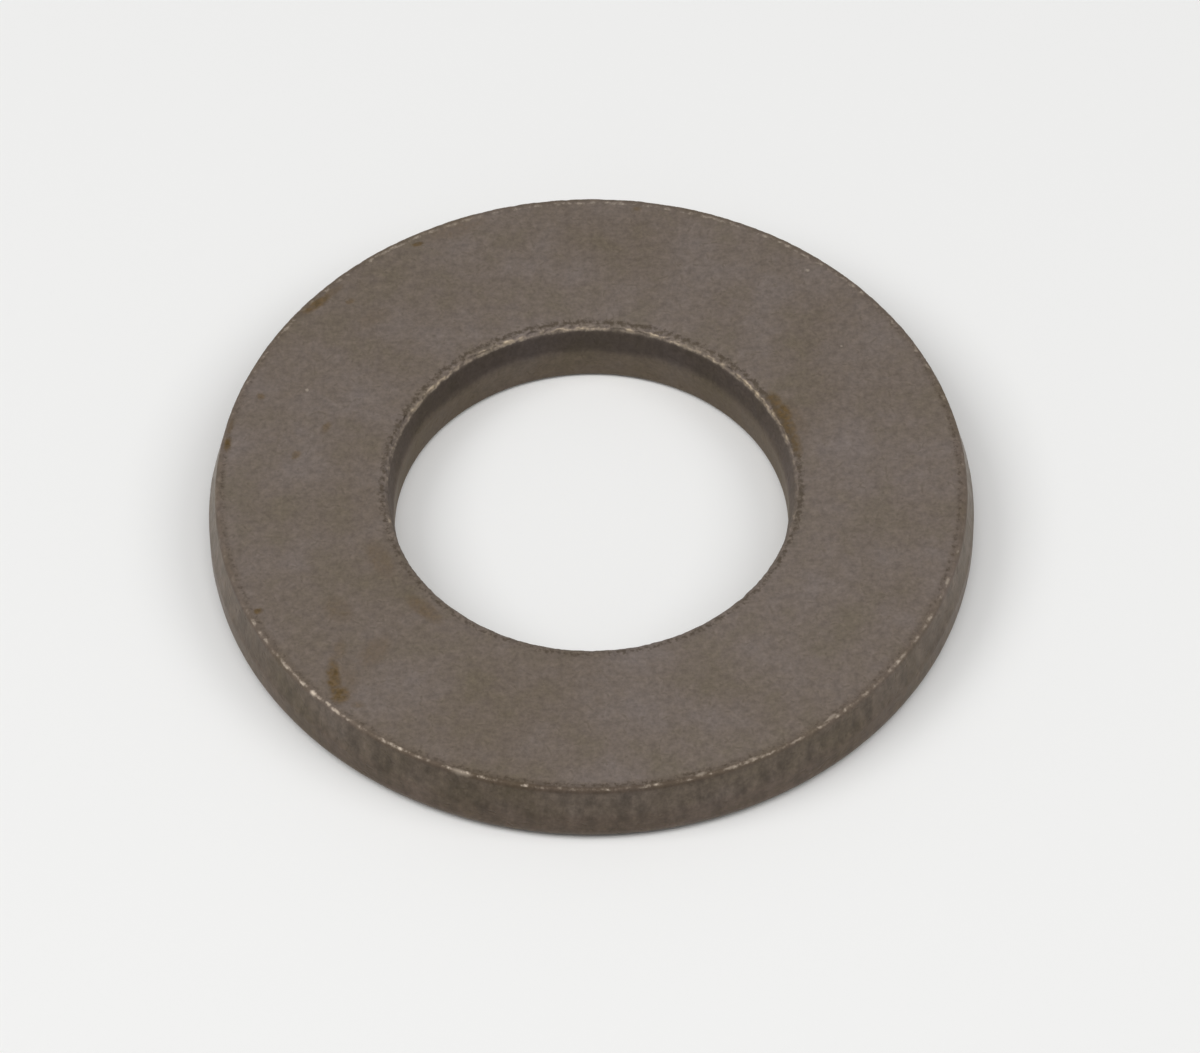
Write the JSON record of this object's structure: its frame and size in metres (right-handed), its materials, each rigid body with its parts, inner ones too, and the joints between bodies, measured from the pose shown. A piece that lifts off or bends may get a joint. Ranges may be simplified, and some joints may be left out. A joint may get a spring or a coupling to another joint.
{
  "type": "flat washer",
  "caption": "Thick flat steel washer, blanked and pierced from plate: a plain ring with a round bore, rolled lower edges and torn, tumbled upper edges.",
  "frame": {"origin": "middle of the lower face, the one that the washer lies on", "axes": "+Z along the bore, out of the upper face; X and Y across the ring, which is round, so their turn about Z is free"},
  "size_m": [0.0508, 0.0508, 0.0048],
  "materials": {
    "steel": "heat-treated steel with a matt grey-brown oxide, worn bright along the upper edges, with a few rust stains"
  },
  "bodies": {
    "root": {"washer": "steel"}
  },
  "joints": []
}
